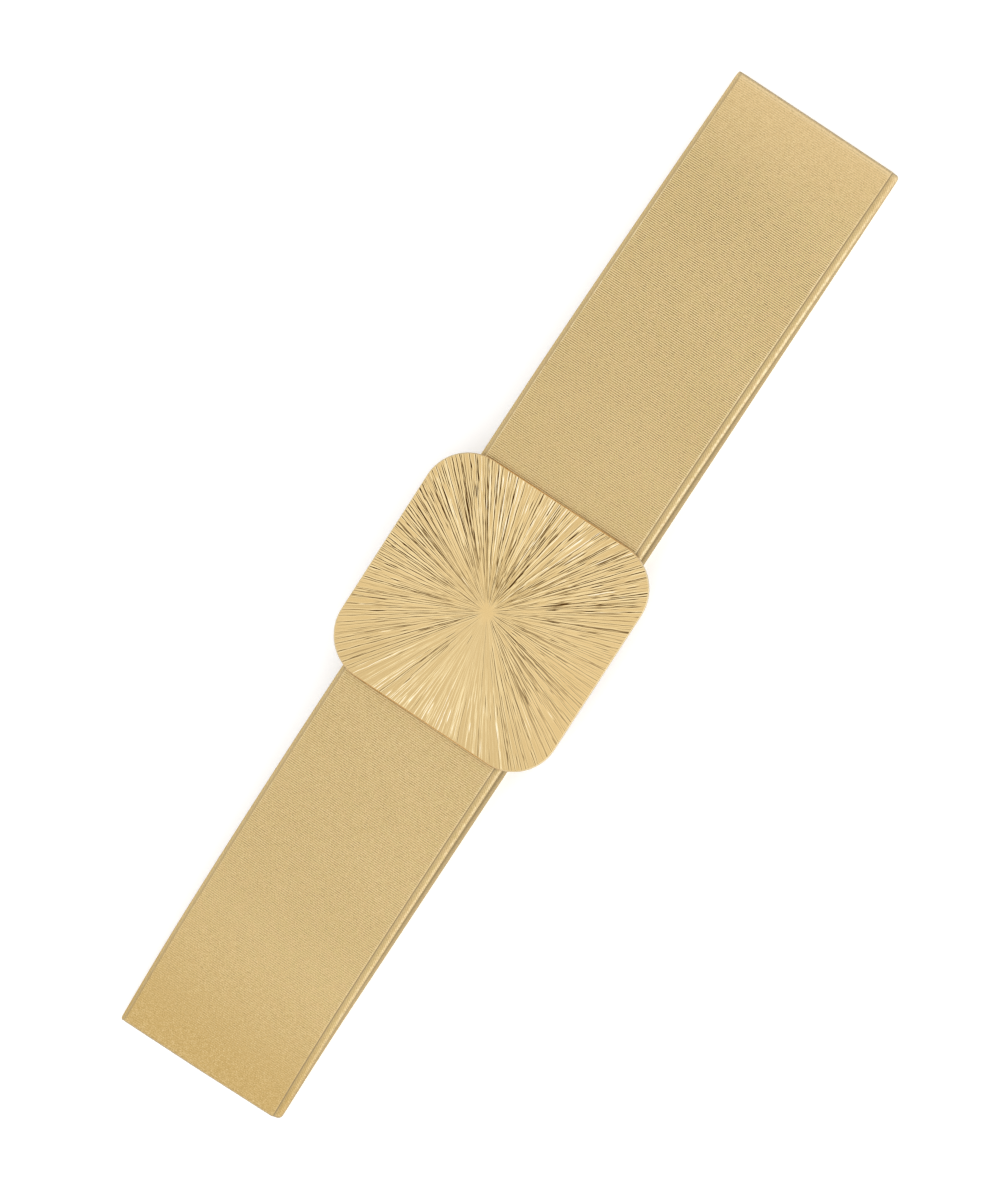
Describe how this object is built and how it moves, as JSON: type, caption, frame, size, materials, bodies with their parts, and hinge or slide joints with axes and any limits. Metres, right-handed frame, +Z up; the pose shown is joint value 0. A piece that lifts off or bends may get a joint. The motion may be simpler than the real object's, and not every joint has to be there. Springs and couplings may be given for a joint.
{
  "type": "elastic stretch belt",
  "caption": "Gold elastic stretch belt, a closed loop pressed flat, with a domed rounded-square sunburst plate over its hook clasp.",
  "frame": {"origin": "centre of the bounding box's footprint, on the surface that the belt lies on", "axes": "+X along the belt, +Y across it towards the narrow edge roll, +Z up through the plate"},
  "size_m": [0.356, 0.0804, 0.0231],
  "materials": {
    "gold_webbing": "metallic gold yarn, fine ribs across the band, satin",
    "gold_plate": "polished pale gold, cut with fine rays",
    "gold_wire": "plain gold-plated wire"
  },
  "bodies": {
    "root": {"elastic_band": "gold_webbing", "buckle_plate": "gold_plate", "catch_loop": "gold_wire"}
  },
  "joints": []
}
